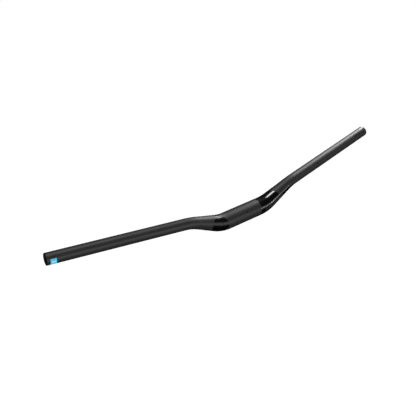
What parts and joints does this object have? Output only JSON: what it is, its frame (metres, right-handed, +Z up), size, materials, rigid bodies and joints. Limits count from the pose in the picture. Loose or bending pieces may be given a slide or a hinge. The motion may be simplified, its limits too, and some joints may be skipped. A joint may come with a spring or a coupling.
{
  "type": "riser handlebar",
  "caption": "Hollow riser handlebar tube: a thick clamp zone tapers through bent shoulders into slim, swept-back grips with open ends.",
  "frame": {"origin": "middle of the clamp zone, on its axis", "axes": "+X along the bar towards the rider's left hand, +Y rearward towards the rider, +Z up, the way the shoulders rise"},
  "size_m": [0.8034, 0.0692, 0.0756],
  "materials": {
    "bar_finish": "satin"
  },
  "bodies": {
    "root": {"handlebar": "bar_finish"}
  },
  "joints": []
}
